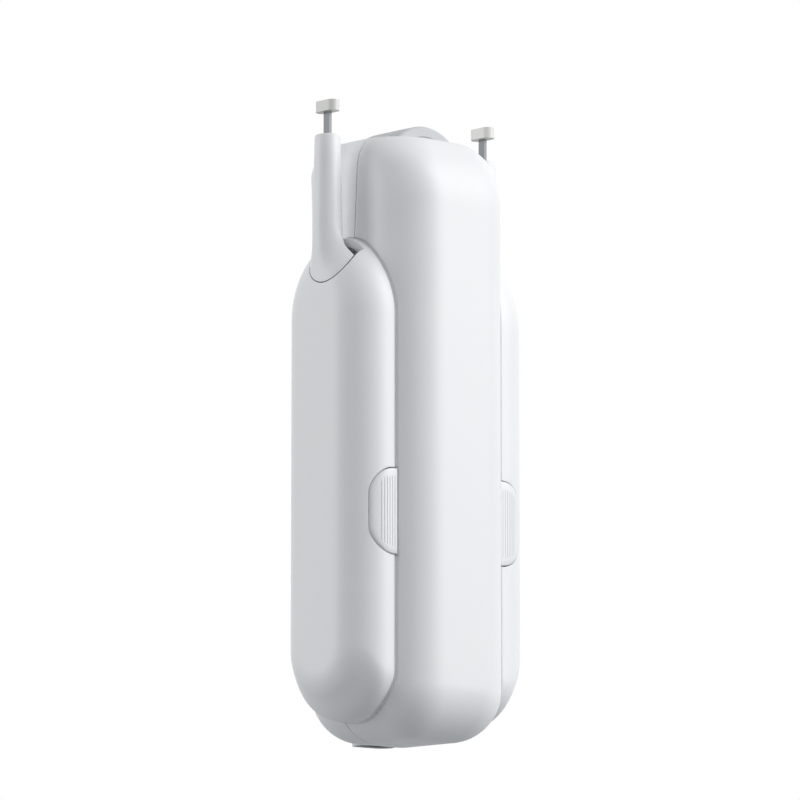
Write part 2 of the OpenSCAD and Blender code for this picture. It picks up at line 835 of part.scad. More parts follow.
module wheel_tyre() {
    edge = 1;
    color("#c9cbcd") hang() translate([0, 0, axle_h]) rotate([90, 0, 0]) rotate_extrude() difference() {
        translate([wheel_r - tyre_t, -wheel_w / 2]) square([tyre_t, wheel_w]);
        for (y = [-1, 1]) translate([wheel_r, y * wheel_w / 2]) rotate(45)
            square(edge * sqrt(2), center = true);
    }
}

module wheel_axle() {
    color(STEEL) hang() translate([0, 0, axle_h]) bar_y(axle_r, -cheek_out - 1, layer_1 + gear_w + 0.3);
}

module axle_bearings() {
    color(STEEL) hang() translate([0, 0, axle_h]) for (y = [-cheek_out, cheek_y]) difference() {
        bar_y(bearing_r, y, y + plate_t);
        bar_y(axle_r + running, y - 1, y + plate_t + 1);
    }
}

module wheel_gear() {
    color(BRASS) hang() translate([0, 0, axle_h]) difference() {
        gear_y(wheel_teeth, layer_1, layer_1 + gear_w, -90);
        bar_y(axle_r, 0, half_d);
    }
}

module compound_gear() {
    color(BRASS) hang() translate([0, 0, compound_h]) difference() {
        union() {
            gear_y(small_teeth, layer_1, layer_2 + 0.1, 90 + 180 / small_teeth);
            gear_y(big_teeth, layer_2, layer_end, -90);
        }
        bar_y(pin_r + running, 0, half_d);
    }
}

module compound_pin() {
    color(STEEL) hang() translate([0, 0, compound_h]) bar_y(pin_r, cheek_y, layer_end + 0.8);
}

module motor_pinion() {
    color(BRASS) hang() translate([0, 0, motor_h]) difference() {
        gear_y(pinion_teeth, layer_2, layer_end, 90 + 180 / pinion_teeth);
        bar_y(pin_r, 0, half_d);
    }
}

module motor_shaft() {
    color(STEEL) hang() translate([0, 0, motor_h]) bar_y(pin_r, cheek_y - shaft_sink, layer_end + 0.5);
}

module gearhead() {
    color(STEEL) hang() difference() {
        translate([0, 0, motor_h]) bar_y(motor_r, cheek_y - gearhead_len, cheek_y);
        translate([0, 0, motor_h]) bar_y(pin_r + running, cheek_y - shaft_sink, cheek_y + 1);
        motor_screw_places() bar_y(screw_r, cheek_y - motor_screw_sink, cheek_y + 1);
    }
}

module motor() {
    end = cheek_y - gearhead_len;
    cap = 2;
    color(GREY) hang() translate([0, 0, motor_h]) {
        bar_y(motor_r, -motor_back + cap, end);
        bar_y(motor_r * 0.55, -motor_back, -motor_back + cap);
    }
}

module battery_cell() {
    color(BLUE) hang() translate([0, 0, cell_lo]) {
        cylinder(r = cell_r, h = cell_len - 1);
        cylinder(r = cell_r / 3, h = cell_len);
    }
}

module battery_tabs() {
    half = cell_r / 2;
    color(STEEL) hang() for (h = [cell_hi, ledge_hi]) block([-half, -half, h], [half, half, h + tab_t]);
}

module main_board() {
    half = board_w / 2;
    color(GREEN) hang() difference() {
        union() {
            block([-half, board_y, board_lo], [half, board_back, board_hi]);
            block([-tab_half_w, board_y, board_lo - board_tab_len],
                  [tab_half_w, board_back, board_lo + board_tab_lap]);
        }
        for (x = [-1, 1], h = board_screw_heights)
            translate([x * board_screw_x, 0, h]) bar_y(screw_r, 0, half_d);
    }
}

module tact_switch() {
    half = 3;
    color(DARK) hang() translate([0, 0, pair_h]) {
        block([-half, board_back, -half], [half, board_back + switch_t - 0.5, half]);
        bar_y(half / 2, board_back, board_back + switch_t);
    }
}

module charge_socket() {
    skin = 0.35;
    color(STEEL) hang() translate([0, port_y, socket_lo]) difference() {
        linear_extrude(socket_len) slot_outline(socket_w, socket_t);
        translate([0, 0, -1]) linear_extrude(socket_len) difference() {
            slot_outline(socket_w - 2 * skin, socket_t - 2 * skin);
            square([socket_w - 2.4, 0.7], center = true);
        }
    }
}

module port_insert() {
    color(DARK) hang() translate([0, port_y, port_sink])
    linear_extrude(socket_lo + 1 - port_sink) difference() {
        slot_outline(port_len - plate_fit, port_w - plate_fit);
        slot_outline(socket_w, socket_t);
    }
}

module pairing_button() {
    flange_t = 1.2;
    color(SHADE) hang() translate([0, 0, pair_h]) {
        bar_y(pair_r, in_y - run_gap - flange_t, half_d - 0.2);
        bar_y(pair_r + 1.2, in_y - run_gap - flange_t, in_y - run_gap);
        bar_y(pipe_r, board_back + switch_t + pair_travel + 0.2, in_y - run_gap);
    }
}

module light_pipe() {
    color("#e8eef2") hang() translate([0, 0, pair_h + pipe_rise]) {
        bar_y(pipe_r, board_back + 0.4, half_d - 0.1);
        bar_y(pipe_r + 0.8, in_y - 1.2, in_y);
    }
}

module chassis_screws() {
    color(STEEL) hang() for (x = [-1, 1], h = tower_heights) translate([x * tower_x, cheek_out, h])
        screw_y(chassis_screw_len);
}

module motor_screws() {
    color(STEEL) hang() motor_screw_places() translate([0, cheek_out, 0]) screw_y(plate_t + motor_screw_sink);
}

module board_screws() {
    color(STEEL) hang() for (x = [-1, 1], h = board_screw_heights)
        translate([x * board_screw_x, board_back, h]) screw_y(board_back - cheek_out + 1);
}

module pod_screws(right) {
    color(STEEL) hang() side(right) pod_screw_places() translate([base_out, 0, 0]) {
        bar_x(head_r, 0, head_h);
        bar_x(screw_r, -base_t - wall - boss_len + 2, 0);
    }
}
module left_pod_screws() pod_screws(false);
module right_pod_screws() pod_screws(true);

front_cover();
rear_cover();
top_plate();
left_pod_cover();
right_pod_cover();
left_pod_base();
right_pod_base();
left_hook_arm();
right_hook_arm();
left_hook();
right_hook();
left_hook_shoe();
right_hook_shoe();
left_hook_clip();
right_hook_clip();
left_arm_spring();
right_arm_spring();
left_front_button();
left_rear_button();
right_front_button();
right_rear_button();
left_front_spring();
left_rear_spring();
right_front_spring();
right_rear_spring();
chassis();
wheel_hub();
wheel_tyre();
wheel_axle();
axle_bearings();
wheel_gear();
compound_gear();
compound_pin();
motor_pinion();
motor_shaft();
gearhead();
motor();
battery_cell();
battery_tabs();
main_board();
tact_switch();
charge_socket();
port_insert();
pairing_button();
light_pipe();
chassis_screws();
motor_screws();
board_screws();
left_pod_screws();
right_pod_screws();
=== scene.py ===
# %% [markdown]
# # A curtain robot, dressed in Blender
# The machine hangs by two hook arms and drives itself along on a rubber wheel. The CAD model has every
# piece at its true size, so it is loaded as a frame that nothing here may move. Blender's job is the skin:
# smooth moulded shells, ribbed buttons, flared arms, and finishes that look like the real plastics and
# metals. Sizes are written in millimetres and turned to metres in one place.

# %% Frame and units
import json
import math

import bmesh
import bpy
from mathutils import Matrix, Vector


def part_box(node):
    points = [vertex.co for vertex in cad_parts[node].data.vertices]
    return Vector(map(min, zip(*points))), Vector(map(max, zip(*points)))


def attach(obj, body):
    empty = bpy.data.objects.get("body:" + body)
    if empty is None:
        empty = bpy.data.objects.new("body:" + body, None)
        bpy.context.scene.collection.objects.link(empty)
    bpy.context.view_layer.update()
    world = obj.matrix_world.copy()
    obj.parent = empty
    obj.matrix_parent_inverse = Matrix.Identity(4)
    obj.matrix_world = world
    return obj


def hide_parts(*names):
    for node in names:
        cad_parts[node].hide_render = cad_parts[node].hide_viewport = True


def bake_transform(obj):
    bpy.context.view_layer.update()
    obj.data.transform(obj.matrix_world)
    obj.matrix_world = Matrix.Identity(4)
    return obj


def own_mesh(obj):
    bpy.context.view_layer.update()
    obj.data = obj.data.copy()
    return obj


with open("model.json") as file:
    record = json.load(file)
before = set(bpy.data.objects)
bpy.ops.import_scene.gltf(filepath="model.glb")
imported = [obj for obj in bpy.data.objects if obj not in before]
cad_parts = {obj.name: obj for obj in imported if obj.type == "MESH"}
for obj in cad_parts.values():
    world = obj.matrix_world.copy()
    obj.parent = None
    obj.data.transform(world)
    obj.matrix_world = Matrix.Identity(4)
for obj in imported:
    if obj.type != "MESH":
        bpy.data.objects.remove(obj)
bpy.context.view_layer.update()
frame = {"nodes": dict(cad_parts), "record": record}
scene = bpy.context.scene
MM = 0.001

# %% [markdown]
# ## How a mesh is made and finished
# A moulded shell is easiest to draw as rings of points, skinned with quads. The covers get their wall from
# Solidify, while the pods are drawn with both sides of theirs. Every piece goes through the same few
# helpers: one makes the object, one joins a second shape to it or cuts that shape out of it, and one turns
# the modifiers into a plain mesh with smooth faces and crisp edges.

# %% Mesh helpers
RING_WELD, FINE_WELD = 0.004, 0.001


def make_piece(name, points, faces, material):
    """A mesh object at the origin, from points in millimetres."""
    mesh = bpy.data.meshes.new(name)
    mesh.from_pydata([[v * MM for v in p] for p in points], [], faces)
    mesh.materials.append(material)
    piece = bpy.data.objects.new(name, mesh)
    scene.collection.objects.link(piece)
    return piece


def skin(rings, closed, flip=False):
    """The points and quads of a skin over rings of equal length, outwards if the rings run
    anticlockwise as they rise."""
    count = len(rings[0])
    steps = count if closed else count - 1
    points = [p for ring in rings for p in ring]
    faces = []
    for r in range(len(rings) - 1):
        for i in range(steps):
            j = (i + 1) % count
            a, b = r * count, (r + 1) * count
            quad = [a + i, a + j, b + j, b + i]
            faces.append(quad[::-1] if flip else quad)
    return points, faces


def weld(piece, distance=RING_WELD):
    """Merges the points where rings close up, and drops the faces that this empties."""
    shape = bmesh.new()
    shape.from_mesh(piece.data)
    bmesh.ops.remove_doubles(shape, verts=shape.verts, dist=distance * MM)
    bmesh.ops.dissolve_degenerate(shape, edges=shape.edges, dist=distance * MM / 4)
    shape.to_mesh(piece.data)
    shape.free()


def face_out(piece):
    """Turns the faces of a closed shape outwards."""
    shape = bmesh.new()
    shape.from_mesh(piece.data)
    bmesh.ops.recalc_face_normals(shape, faces=shape.faces)
    shape.to_mesh(piece.data)
    shape.free()


print("points closer than", RING_WELD, "mm are merged")

# %% Modifier helpers
SHARP = math.radians(38)


def add_wall(piece, thickness):
    """Gives an open skin its wall, inwards."""
    wall = piece.modifiers.new("Wall", "SOLIDIFY")
    wall.thickness = thickness * MM
    wall.offset = -1
    wall.use_even_offset = True


def combine(piece, other, operation):
    """Adds a closed shape to a piece, or takes it out."""
    change = piece.modifiers.new("Change", "BOOLEAN")
    change.operation = operation
    change.solver = "EXACT"
    change.object = other


def round_edges(piece, width):
    """Breaks the sharp edges, as a mould does."""
    bevel = piece.modifiers.new("Edges", "BEVEL")
    bevel.width = width * MM
    bevel.segments = 2
    bevel.limit_method = "ANGLE"
    bevel.angle_limit = SHARP
    bevel.use_clamp_overlap = True


def bake(piece, cutters=()):
    """Turns a piece's modifiers into plain mesh, shades it smooth and removes its cutters."""
    graph = bpy.context.evaluated_depsgraph_get()
    mesh = bpy.data.meshes.new_from_object(piece.evaluated_get(graph))
    piece.modifiers.clear()
    piece.data = mesh
    weld(piece, FINE_WELD)
    mesh.shade_smooth()
    mesh.set_sharp_from_angle(angle=SHARP)
    for cutter in cutters:
        bpy.data.objects.remove(cutter)
    print(f"{piece.name}: {len(mesh.polygons)} faces")


print("edges sharper than", round(math.degrees(SHARP)), "degrees stay crisp")

# %% [markdown]
# ## Finishes
# Each finish starts from the real material. The white shells are ABS from a mould with a fine eroded
# texture, so they are satin with a faint grain. Steel parts are stamped or drawn and show fine lines along
# one direction. Colours are written as the hex values seen on a screen and turned to the linear values
# that the shader needs.

# %% Material helpers
def linear(code):
    """A hex colour as the linear red, green, blue and alpha of a shader socket."""
    parts = [int(code[i:i + 2], 16) / 255 for i in (1, 3, 5)]
    return [c / 12.92 if c <= 0.04045 else ((c + 0.055) / 1.055) ** 2.4 for c in parts] + [1.0]


def add_node(tree, kind, values=None, links=None, **settings):
    """Adds a node, with its settings, the values of its sockets and the outputs that feed them."""
    node = tree.nodes.new(kind)
    for key, value in settings.items():
        setattr(node, key, value)
    for key, value in (values or {}).items():
        node.inputs[key].default_value = value
    for key, output in (links or {}).items():
        tree.links.new(output, node.inputs[key])
    return node


def start_material(name):
    """An empty node material, with its tree, its object coordinates and its output node."""
    material = bpy.data.materials.new(name)
    material.use_nodes = True
    tree = material.node_tree
    tree.nodes.clear()
    place = add_node(tree, "ShaderNodeTexCoord").outputs["Object"]
    return material, tree, place, add_node(tree, "ShaderNodeOutputMaterial")


def join_surface(tree, out, shades, gloss, pattern, normal, values):
    """Two shades and a range of roughness that follow one pattern, and a relief, in one shader."""
    shade = add_node(tree, "ShaderNodeMix", {"A": linear(shades[1]), "B": linear(shades[0])},
                     {"Factor": pattern}, data_type="RGBA")
    gloss_map = add_node(tree, "ShaderNodeMapRange", {"To Min": gloss[0], "To Max": gloss[1]},
                         {"Value": pattern})
    shader = add_node(tree, "ShaderNodeBsdfPrincipled", values,
                      {"Base Color": shade.outputs["Result"], "Roughness": gloss_map.outputs["Result"],
                       "Normal": normal})
    tree.links.new(shader.outputs["BSDF"], out.inputs["Surface"])


print("screen grey #808080 is", round(linear("#808080")[0], 3), "in linear light")

# %% Plastics and metals
DRIFT_MM, GLOSS_DRIFT, GRAIN_BUMP = 18.0, 0.04, 0.35
LINE_STRETCH, LINE_BUMP, LINE_RELIEF = 0.03, 0.3, 0.01
LINE_GLOSS = (-0.06, 0.08)


def moulded(name, light, dark, roughness, grain_mm, relief_mm, ior, clear=0.0):
    """A moulded plastic or rubber: two close shades in slow drifts, a satin skin whose gloss wanders
    a little, and the grain of the mould as relief."""
    material, tree, place, out = start_material(name)
    drift = add_node(tree, "ShaderNodeTexNoise", {"Scale": 1 / (DRIFT_MM * MM), "Detail": 3.0},
                     {"Vector": place})
    grain = add_node(tree, "ShaderNodeTexNoise", {"Scale": 1 / (grain_mm * MM), "Detail": 2.0},
                     {"Vector": place})
    relief = add_node(tree, "ShaderNodeBump", {"Strength": GRAIN_BUMP, "Distance": relief_mm * MM},
                      {"Height": grain.outputs["Fac"]})
    gloss = (roughness - GLOSS_DRIFT, roughness + GLOSS_DRIFT)
    join_surface(tree, out, (light, dark), gloss, drift.outputs["Fac"], relief.outputs["Normal"],
                 {"IOR": ior, "Transmission Weight": clear})
    return material


def metal(name, light, dark, roughness, line_mm, along):
    """A bare metal with fine lines from drawing, turning or brushing, which run along one axis."""
    material, tree, place, out = start_material(name)
    stretch = [1.0, 1.0, 1.0]
    stretch["XYZ".index(along)] = LINE_STRETCH
    turned = add_node(tree, "ShaderNodeMapping", {"Scale": stretch}, {"Vector": place})
    lines = add_node(tree, "ShaderNodeTexNoise", {"Scale": 1 / (line_mm * MM), "Detail": 4.0},
                     {"Vector": turned.outputs["Vector"]})
    relief = add_node(tree, "ShaderNodeBump", {"Strength": LINE_BUMP, "Distance": LINE_RELIEF * MM},
                      {"Height": lines.outputs["Fac"]})
    gloss = [roughness + change for change in LINE_GLOSS]
    join_surface(tree, out, (light, dark), gloss, lines.outputs["Fac"], relief.outputs["Normal"],
                 {"Metallic": 1.0})
    return material


print("shades drift over about", DRIFT_MM, "mm")

# %% [markdown]
# The mould's grain is about 0.1 mm, too fine to show at this distance, so it is drawn at 0.5 mm with very
# little relief. The tyre is pale silicone rubber, which is duller and has a deeper relief. The steel of the
# hooks is a rolled strip, grey, and coloured darker than turned steel as painted shade. Each plastic gives
# its two shades, the roughness, the size and relief of its grain in millimetres and its IOR, and each metal
# the width and axis of its lines.

# %% Finishes of this object
# Satin from the mould: a soft, broad highlight and hardly any texture. The buttons are a little glossier.
white_abs = moulded("White ABS, moulded satin", "#f4f5f6", "#eff0f2", 0.42, 0.5, 0.010, 1.53)
button_abs = moulded("White ABS, button", "#f2f3f4", "#eceef0", 0.38, 0.5, 0.010, 1.53)
# A coarser mould for the inner parts: matt, with no clear highlight.
grey_abs = moulded("Grey ABS, moulded matt", "#9a9da1", "#8d9094", 0.55, 0.6, 0.015, 1.53)
dark_abs = moulded("Dark ABS, moulded matt", "#303236", "#26282b", 0.5, 0.5, 0.015, 1.53)
# Acetal looks waxy, and silicone dull and soft.
acetal = moulded("Acetal, natural white", "#eeeeea", "#e4e4df", 0.3, 0.8, 0.008, 1.48)
silicone = moulded("Silicone rubber, pale grey", "#d5d6d8", "#c7c9cb", 0.62, 0.35, 0.03, 1.41)
# Lacquer, a tight sleeve and polished acrylic: smooth and glossy.
solder_mask = moulded("Solder mask on glass epoxy", "#1f6b45", "#195b3a", 0.35, 0.7, 0.02, 1.5)
cell_sleeve = moulded("PET sleeve of the cell", "#3f73b4", "#3767a4", 0.28, 1.5, 0.02, 1.57)
acrylic = moulded("Acrylic, clear", "#eef3f5", "#e6edf0", 0.12, 1.0, 0.002, 1.49, clear=0.6)
# Rolled strip is grey, darkened further as painted shade, and shows fine upright lines. Turned parts are
# brighter, with lines along their axis.
shaded_steel_strip = metal("Stainless steel strip, darkened as painted shade", "#717375", "#5d5f61", 0.4, 0.35, "Z")
steel_turned = metal("Steel, turned and ground", "#c9ccd0", "#aeb2b7", 0.24, 0.4, "Y")
brass = metal("Brass, hobbed", "#d8b567", "#c09a4c", 0.3, 0.4, "Y")
nickel = metal("Nickel plate", "#d2cec4", "#b9b5ab", 0.26, 0.5, "X")
print(len(bpy.data.materials), "materials")

# %% Finishes on the CAD pieces
finish_of_slot = {
    "white_abs": white_abs, "button_abs": button_abs, "grey_abs": grey_abs, "dark_abs": dark_abs,
    "acetal": acetal, "tyre_rubber": silicone, "steel": steel_turned, "brass": brass, "nickel": nickel,
    "cell_can": cell_sleeve, "board": solder_mask, "clear_acrylic": acrylic,
}
for part in frame["record"]["subparts"]:
    finish = finish_of_slot[part["material_slot"]]
    # The hooks get the strip steel, whose dark colour is partly painted shade.
    if part["node"].endswith("_hook"):
        finish = shaded_steel_strip
    for place in frame["nodes"][part["node"]].material_slots:
        place.material = finish
print("finished", len(frame["nodes"]), "CAD pieces")

# %% [markdown]
# ## The main body as a rule
# The body is a tall rounded box. Its plan shrinks towards the bottom as a quarter circle, and towards the
# top as arcs: a long brow at the front, shorter ones at the sides and back. A height gives the plan, and
# the plan gives a ring of points. The two covers take the part of each ring in front of the seam, or
# behind it. Skinning those rings keeps the seam exact, which slicing a finished box would not.

# %% The body's plan at a height
BODY_W, BODY_D, BODY_H = 46.0, 51.0, 177.0
CORNER_R, TOP_CORNER_R, CROWN_DROP = 15.4, 13.6, 27.0
EDGE_R, EDGE_DROP = 12.1, 9.0
BROW_R, BROW_DROP = 25.8, 20.0


def arc_in(radius, rise):
    """How far a circle has drawn in, a rise above its widest place."""
    rise = min(max(rise, 0.0), radius)
    return radius - math.sqrt(radius * radius - rise * rise)


def body_plan(h):
    """Half width, front reach, rear reach and corner radius of the body at height h."""
    low = arc_in(CORNER_R, CORNER_R - h)
    edge = arc_in(EDGE_R, h - (BODY_H - EDGE_DROP))
    brow = arc_in(BROW_R, h - (BODY_H - BROW_DROP))
    rise = max(0.0, (h - BODY_H + CROWN_DROP) / CROWN_DROP)
    corner = CORNER_R - low - (CORNER_R - TOP_CORNER_R) * rise * rise
    return BODY_W / 2 - low - edge, BODY_D / 2 - low - brow, BODY_D / 2 - low - edge, corner


def quarter(steps):
    """The angles of a quarter turn, in equal steps."""
    return [math.pi / 2 * i / steps for i in range(steps + 1)]


def half_outline(h, steps=40):
    """The right half of the body's outline at height h, from the middle of the front to the rear."""
    wide, front, rear, r = body_plan(h)
    path = [(0.0, -front)]
    path += [(wide - r + r * math.sin(a), -front + r - r * math.cos(a)) for a in quarter(steps)]
    path += [(wide - r + r * math.cos(a), rear - r + r * math.sin(a)) for a in quarter(steps)]
    return path + [(0.0, rear)]


print("plan at half height:", [round(v, 1) for v in body_plan(BODY_H / 2)])

# %% The seam
SEAM_TOP, SEAM_BOTTOM, SEAM_GAP = -4.4, 5.4, 0.3


def seam_y(h):
    """Where the seam between the covers crosses the sides at height h."""
    return SEAM_BOTTOM + (SEAM_TOP - SEAM_BOTTOM) * h / BODY_H


def clip_path(path, limit, keep_front):
    """The part of a half outline in front of y = limit, or behind it."""
    kept = []
    for a, b in zip(path, path[1:]):
        inside_a, inside_b = [p[1] <= limit if keep_front else p[1] >= limit for p in (a, b)]
        if inside_a:
            kept.append(a)
        if inside_a != inside_b:
            t = (limit - a[1]) / (b[1] - a[1])
            kept.append((a[0] + t * (b[0] - a[0]), limit))
    if (path[-1][1] <= limit) == keep_front:
        kept.append(path[-1])
    return kept


def even_path(path, count):
    """The same path with evenly spaced points."""
    reach = [0.0]
    for a, b in zip(path, path[1:]):
        reach.append(reach[-1] + math.dist(a, b))
    found = []
    k = 0
    for i in range(count):
        want = reach[-1] * i / (count - 1)
        while k < len(path) - 2 and reach[k + 1] < want:
            k += 1
        span = reach[k + 1] - reach[k]
        t = min(max((want - reach[k]) / span, 0.0), 1.0) if span > 1e-9 else 0.0
        found.append(tuple(a + t * (b - a) for a, b in zip(path[k], path[k + 1])))
    return found


print("seam at", seam_y(0), "mm from the middle at the bottom and", round(seam_y(BODY_H), 1), "at the top")

# %% [markdown]
# ## The two covers
# Each cover is one skin with a 1.8 mm wall. The release buttons dip into the covers' sides, so both get
# pockets there. The rear cover also has the oval port in its underside, with a flat rim round it, and two
# round holes for the pairing button and the light pipe. The front is bare and smooth.

# %% Covers
WALL, HALF_POINTS = 1.8, 60
LOW_RINGS, SIDE_RINGS, CROWN_RINGS = 18, 14, 30
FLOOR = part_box("front_cover")[0][2] / MM
cover_heights = [CORNER_R * (1 - math.cos(a)) for a in quarter(LOW_RINGS)[:-1]]
cover_heights += [CORNER_R + (BODY_H - CROWN_DROP - CORNER_R) * i / SIDE_RINGS for i in range(SIDE_RINGS)]
cover_heights += [BODY_H - CROWN_DROP + CROWN_DROP * i / CROWN_RINGS for i in range(CROWN_RINGS + 1)]


def cover_ring(h, keep_front):
    """A cover's ring at height h, anticlockwise seen from above."""
    shift = -SEAM_GAP / 2 if keep_front else SEAM_GAP / 2
    half = clip_path(half_outline(h), seam_y(h) + shift, keep_front)
    half = even_path(half, HALF_POINTS)
    ahead = [(x, y, h + FLOOR) for x, y in half]
    other = [(-x, y, h + FLOOR) for x, y in half[::-1]]
    return other[:-1] + ahead if keep_front else ahead[:-1] + other


def build_cover(name, keep_front):
    """One cover as an open skin with its flat underside, and its wall."""
    rings = [cover_ring(h, keep_front) for h in cover_heights]
    points, faces = skin(rings, False)
    faces.append(list(range(len(rings[0])))[::-1])
    cover = make_piece(name, points, faces, white_abs)
    weld(cover)
    add_wall(cover, WALL)
    return cover


front_shell = build_cover("front_shell", True)
rear_shell = build_cover("rear_shell", False)
print("each cover is skinned over", len(cover_heights), "rings")

# %% Solids that cut or join
def solid(name, rings):
    """A closed solid with flat ends between two rings of points."""
    points, faces = skin(rings, True)
    count = len(rings[0])
    faces += [list(range(count)), list(range(count, 2 * count))]
    piece = make_piece(name, points, faces, white_abs)
    face_out(piece)
    return piece


def prism_y(name, outline, y0, y1):
    """A prism along Y of an outline in X and height."""
    return solid(name, [[(x, y, h + FLOOR) for x, h in outline] for y in sorted([y0, y1])])


def prism_z(name, outline, h0, h1):
    """An upright prism of an outline in X and Y."""
    return solid(name, [[(x, y, h + FLOOR) for x, y in outline] for h in (h0, h1)])


def circle_outline(x, h, r, steps=48):
    """A circle round (x, h). Its points miss the axes, where the shells have points of their own."""
    turns = [2 * math.pi * (i + 0.5) / steps for i in range(steps)]
    return [(x + r * math.cos(a), h + r * math.sin(a)) for a in turns]


def rectangle(x0, x1, h0, h1):
    """The corners of a rectangle, anticlockwise."""
    x0, x1 = sorted([x0, x1])
    return [(x0, h0), (x1, h0), (x1, h1), (x0, h1)]


print("a round hole has", len(circle_outline(0.0, 0.0, 1.0)), "points unless its line says less")

# %% Pockets for the buttons
BUTTON_H, BUTTON_LEN, BUTTON_IN, BUTTON_OUT, BUTTON_R = 65.0, 25.0, 20.5, 29.6, 8.0
BUTTON_BACK, BUTTON_TRAVEL, RUN_GAP = 14.0, 2.0, 0.3
POCKET_OUT = 30.0


def pocket_cutters():
    """The four pockets that let the release buttons move in."""
    reach = BUTTON_LEN / 2 + 2 * RUN_GAP
    depth = BUTTON_BACK - BUTTON_TRAVEL - RUN_GAP
    cutters = []
    for sx in (-1, 1):
        box = rectangle(sx * (BUTTON_IN - RUN_GAP), sx * POCKET_OUT, BUTTON_H - reach, BUTTON_H + reach)
        cutters += [prism_y("pocket", box, sy * depth, sy * BODY_D / 2) for sy in (-1, 1)]
    return cutters


pockets = pocket_cutters()
for cutter in pockets:
    combine(front_shell, cutter, "DIFFERENCE")
    combine(rear_shell, cutter, "DIFFERENCE")
print(len(pockets), "pockets in the covers' sides")

# %% Port and holes in the rear cover
PORT_Y, PORT_LEN, PORT_W, PORT_RIM = 14.2, 13.0, 6.4, 0.6
LAND_HEIGHTS, PORT_HEIGHTS = (0.02, 3.0), (-3.0, 9.0)
PAIR_H, PAIR_R, PIPE_R, PIPE_RISE, PIPE_GAP = 42.0, 4.0, 1.5, 10.0, 0.03
HOLE_DEPTHS, COVER_EDGE = (20.0, 27.0), 0.22


def port_block(name, grow, heights):
    """An upright block with the port's oval outline."""
    half = (PORT_LEN - PORT_W) / 2
    ring = circle_outline(0.0, PORT_Y, PORT_W / 2 + grow)
    return prism_z(name, [(math.copysign(half, x) + x, y) for x, y in ring], *heights)


port_land = port_block("land", PORT_RIM, LAND_HEIGHTS)
port_cutter = port_block("port", 0.0, PORT_HEIGHTS)
pair_cutter = prism_y("pair", circle_outline(0, PAIR_H, PAIR_R + RUN_GAP), *HOLE_DEPTHS)
pipe_cutter = prism_y("pipe", circle_outline(0, PAIR_H + PIPE_RISE, PIPE_R + PIPE_GAP, 32), *HOLE_DEPTHS)
combine(rear_shell, port_land, "UNION")
for cutter in (port_cutter, pair_cutter, pipe_cutter):
    combine(rear_shell, cutter, "DIFFERENCE")
for shell in (front_shell, rear_shell):
    round_edges(shell, COVER_EDGE)
bake(front_shell)
bake(rear_shell, pockets + [port_land, port_cutter, pair_cutter, pipe_cutter])
for shell, node in ((front_shell, "front_cover"), (rear_shell, "rear_cover")):
    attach(shell, "root")
    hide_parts(node)

# %% [markdown]
# ## The side pods
# A pod is a capsule that stands on the body's side: its edge is a quarter circle of 11.8 mm, swept round a
# tall stadium whose top end is drawn out upwards. At the lower end the rim is fuller than the face, so the
# rings change from a flat ellipse to a half circle on the way out. Rings of the inner and outer sweep make
# one closed shell, and the rim between them is rounded and follows the body. A fine groove in the covers
# runs round each pod. Two D-shaped windows hold the release buttons, and a round notch in the shoulder
# holds the foot of the hook arm.

# %% The pods' sweep
POD_X, POD_HALF_D, POD_EDGE_R, POD_LO, POD_HI, POD_STRETCH = 35.3, 18.4, 11.8, 5.0, 147.0, 1.3
POD_FLAT = POD_HALF_D - POD_EDGE_R
POD_ROOT = POD_X - POD_EDGE_R
POD_HIGH_MID = POD_HI - POD_HALF_D * POD_STRETCH
RIM_SQUASH, FACE_RISE, SWEEP_STEPS = 0.76, 2.6, 20


def pod_ring(d, share, steps=44):
    """Depth and height of the points at distance d from the pod's axis, once round from the front. The
    lower end is a flat ellipse where share is 0, at the rim, and a higher half circle where it is 1."""
    ease = share * share * (3 - 2 * share)
    squash = RIM_SQUASH + (1 - RIM_SQUASH) * ease
    low_mid = POD_LO + POD_HALF_D * squash + FACE_RISE * ease
    turns = [math.pi * i / steps for i in range(1, steps)]
    ring = [(-d, POD_HIGH_MID + (low_mid - POD_HIGH_MID) * i / steps) for i in range(steps + 1)]
    ring += [(-d * math.cos(a), low_mid - squash * d * math.sin(a)) for a in turns]
    ring += [(d, low_mid + (POD_HIGH_MID - low_mid) * i / steps) for i in range(steps + 1)]
    return ring + [(d * math.cos(a), POD_HIGH_MID + POD_STRETCH * d * math.sin(a)) for a in turns]


def pod_sweep(radius):
    """The rings of the pod's edge at a radius, from near the rim to the middle of the face."""
    rings = []
    for i, b in list(enumerate(quarter(SWEEP_STEPS)))[1:]:
        ring = pod_ring(POD_FLAT + radius * math.cos(b), min(1.0, 2 * i / SWEEP_STEPS))
        rings.append([(POD_ROOT + radius * math.sin(b), y, h) for y, h in ring])
    for d in (POD_FLAT / 2, 0.0):
        rings.append([(POD_ROOT + radius, y, h) for y, h in pod_ring(d, 1.0)])
    return rings


print("a pod's sweep:", len(pod_sweep(POD_EDGE_R)), "rings of", len(pod_ring(POD_FLAT, 1.0)), "points")

# %% What is cut from a pod
FOOT_IN, FOOT_Y, FOOT_R, FOOT_LO = 26.4, 2.6, 7.5, POD_HI - 14.4
NOTCH_RISE, NOTCH_OUT = 20.0, 8


def button_outline(grow=0.0, steps=20):
    """A release button's D, in X and height, anticlockwise from the straight edge's foot."""
    half, r = BUTTON_LEN / 2, BUTTON_R + grow
    mid_x, mid_h = BUTTON_OUT - BUTTON_R, half - BUTTON_R
    path = [(BUTTON_IN - grow, -half - grow)]
    for a in quarter(steps):
        path.append((mid_x + r * math.cos(a - math.pi / 2), -mid_h + r * math.sin(a - math.pi / 2)))
    path += [(mid_x + r * math.cos(a), mid_h + r * math.sin(a)) for a in quarter(steps)]
    path.append((BUTTON_IN - grow, half + grow))
    return [(x, h + BUTTON_H) for x, h in path]


